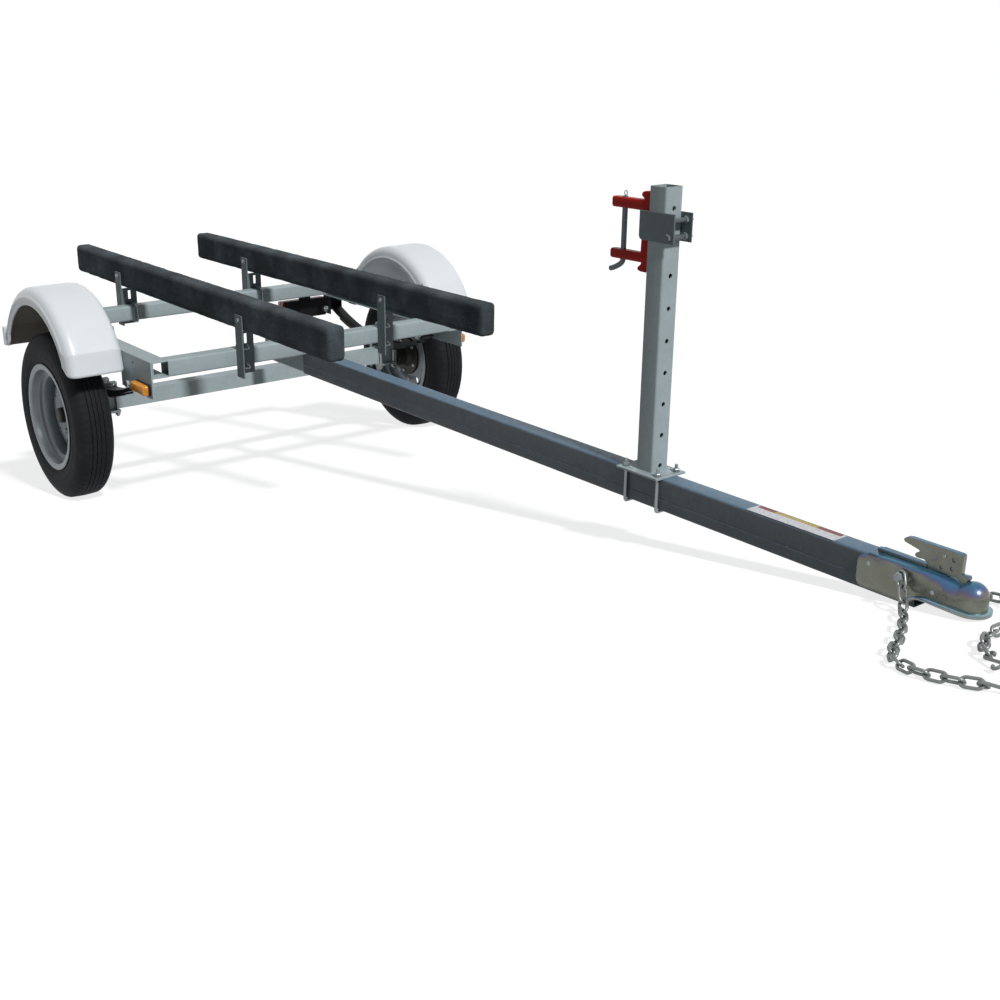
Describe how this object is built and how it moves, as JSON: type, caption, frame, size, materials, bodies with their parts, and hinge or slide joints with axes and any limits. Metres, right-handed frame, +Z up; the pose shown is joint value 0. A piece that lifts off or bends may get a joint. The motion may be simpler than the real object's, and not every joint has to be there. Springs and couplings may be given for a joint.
{
  "type": "boat trailer",
  "caption": "Single-axle boat trailer with leaf springs, white fenders, two carpeted bunks, a bow post with a red yoke, a ball coupler and two safety chains.",
  "frame": {"origin": "on the floor, under the middle of the parked trailer's bounding box", "axes": "+X to the trailer's left-hand side, -Y towards the hitch, +Z up"},
  "size_m": [1.496, 3.7504, 0.8152],
  "materials": {
    "galvanised_steel": "hot-dip galvanised, matt",
    "galvanised_dark": "hot-dip galvanised, weathered",
    "black_spring_steel": "black paint, satin",
    "yellow_zinc": "iridescent yellow zinc plating",
    "zinc_chain": "zinc plated, dull",
    "white_plastic": "moulded, soft gloss",
    "black_plastic": "matt",
    "tyre_rubber": "matt",
    "rim_paint": "silver-grey paint",
    "dark_grease_steel": "dull",
    "bunk_carpet": "needled carpet",
    "red_paint": "satin",
    "amber_lens": "glossy",
    "red_lens": "glossy"
  },
  "bodies": {
    "chassis": {"axle": "galvanised_steel", "axle_clamps": "black_spring_steel", "beam_rear_tube": "galvanised_dark", "bow_clamp_bolts": "galvanised_steel", "bow_clamp_plates": "galvanised_steel", "bow_pin": "black_spring_steel", "bow_post": "galvanised_steel", "bow_yoke": "red_paint", "bunk_bracket_front_left": "galvanised_steel", "bunk_bracket_front_right": "galvanised_steel", "bunk_bracket_rear_left": "galvanised_steel", "bunk_bracket_rear_right": "galvanised_steel", "bunk_left": "bunk_carpet", "bunk_right": "bunk_carpet", "bunk_u_bolts": "galvanised_steel", "chain_bolt": "zinc_chain", "chain_left": "zinc_chain", "chain_right": "zinc_chain", "coupler_body": "yellow_zinc", "coupler_latch": "yellow_zinc", "fender_left": "white_plastic", "fender_right": "white_plastic", "front_cross_member": "galvanised_steel", "hanger_plates": "galvanised_steel", "leaf_spring_left": "black_spring_steel", "leaf_spring_right": "black_spring_steel", "main_beam": "galvanised_dark", "post_base_plate": "galvanised_steel", "post_u_bolts": "galvanised_steel", "rear_cross_member": "galvanised_steel", "side_markers": "amber_lens", "side_rail_left": "galvanised_steel", "side_rail_right": "galvanised_steel", "spring_bolts": "galvanised_steel", "spring_hangers": "galvanised_steel", "tail_light_brackets": "galvanised_steel", "tail_light_housings": "black_plastic", "tail_light_lenses": "red_lens"},
    "wheel_right": {"tyre_right": "tyre_rubber", "rim_right": "rim_paint", "hub_right": "dark_grease_steel"},
    "wheel_left": {"tyre_left": "tyre_rubber", "rim_left": "rim_paint", "hub_left": "dark_grease_steel"}
  },
  "joints": [
    {"name": "wheel_right_spin", "type": "hinge", "parent": "chassis", "child": "wheel_right", "pos_m": [-0.667, 1.1098, 0.262], "axis": [1, 0, 0], "continuous": true},
    {"name": "wheel_left_spin", "type": "hinge", "parent": "chassis", "child": "wheel_left", "pos_m": [0.667, 1.1098, 0.262], "axis": [1, 0, 0], "continuous": true}
  ]
}
